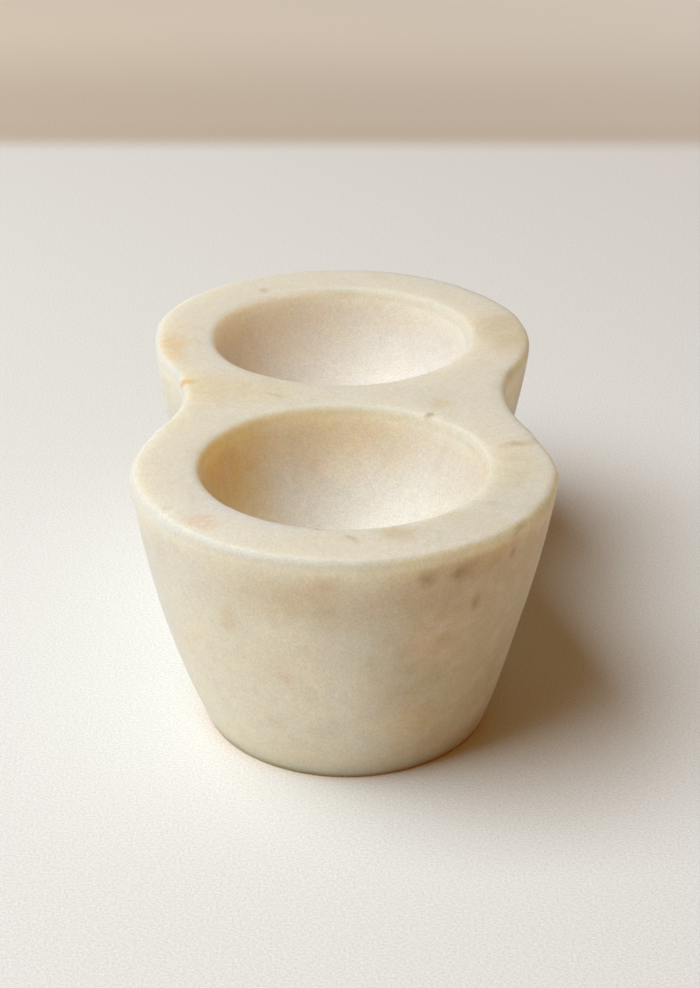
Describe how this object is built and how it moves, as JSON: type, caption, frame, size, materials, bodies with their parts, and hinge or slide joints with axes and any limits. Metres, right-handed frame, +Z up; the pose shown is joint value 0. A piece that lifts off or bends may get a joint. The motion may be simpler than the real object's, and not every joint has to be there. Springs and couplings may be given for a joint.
{
  "type": "salt cellar",
  "caption": "Stone salt cellar shaped like a figure eight, with tapering sides, hollow waists and a round bowl sunk into the flat top of each end.",
  "frame": {"origin": "on the table, under the middle of the block: the centre of the underside", "axes": "+Y along the length, from one bowl to the other, away from the viewer of the picture; +X across the width; +Z up, out of the bowls"},
  "size_m": [0.0766, 0.139, 0.0495],
  "materials": {
    "marble": "honed cream marble, satin and slightly translucent, with soft peach, tan and grey-green stains"
  },
  "bodies": {
    "root": {"cellar_block": "marble"}
  },
  "joints": []
}
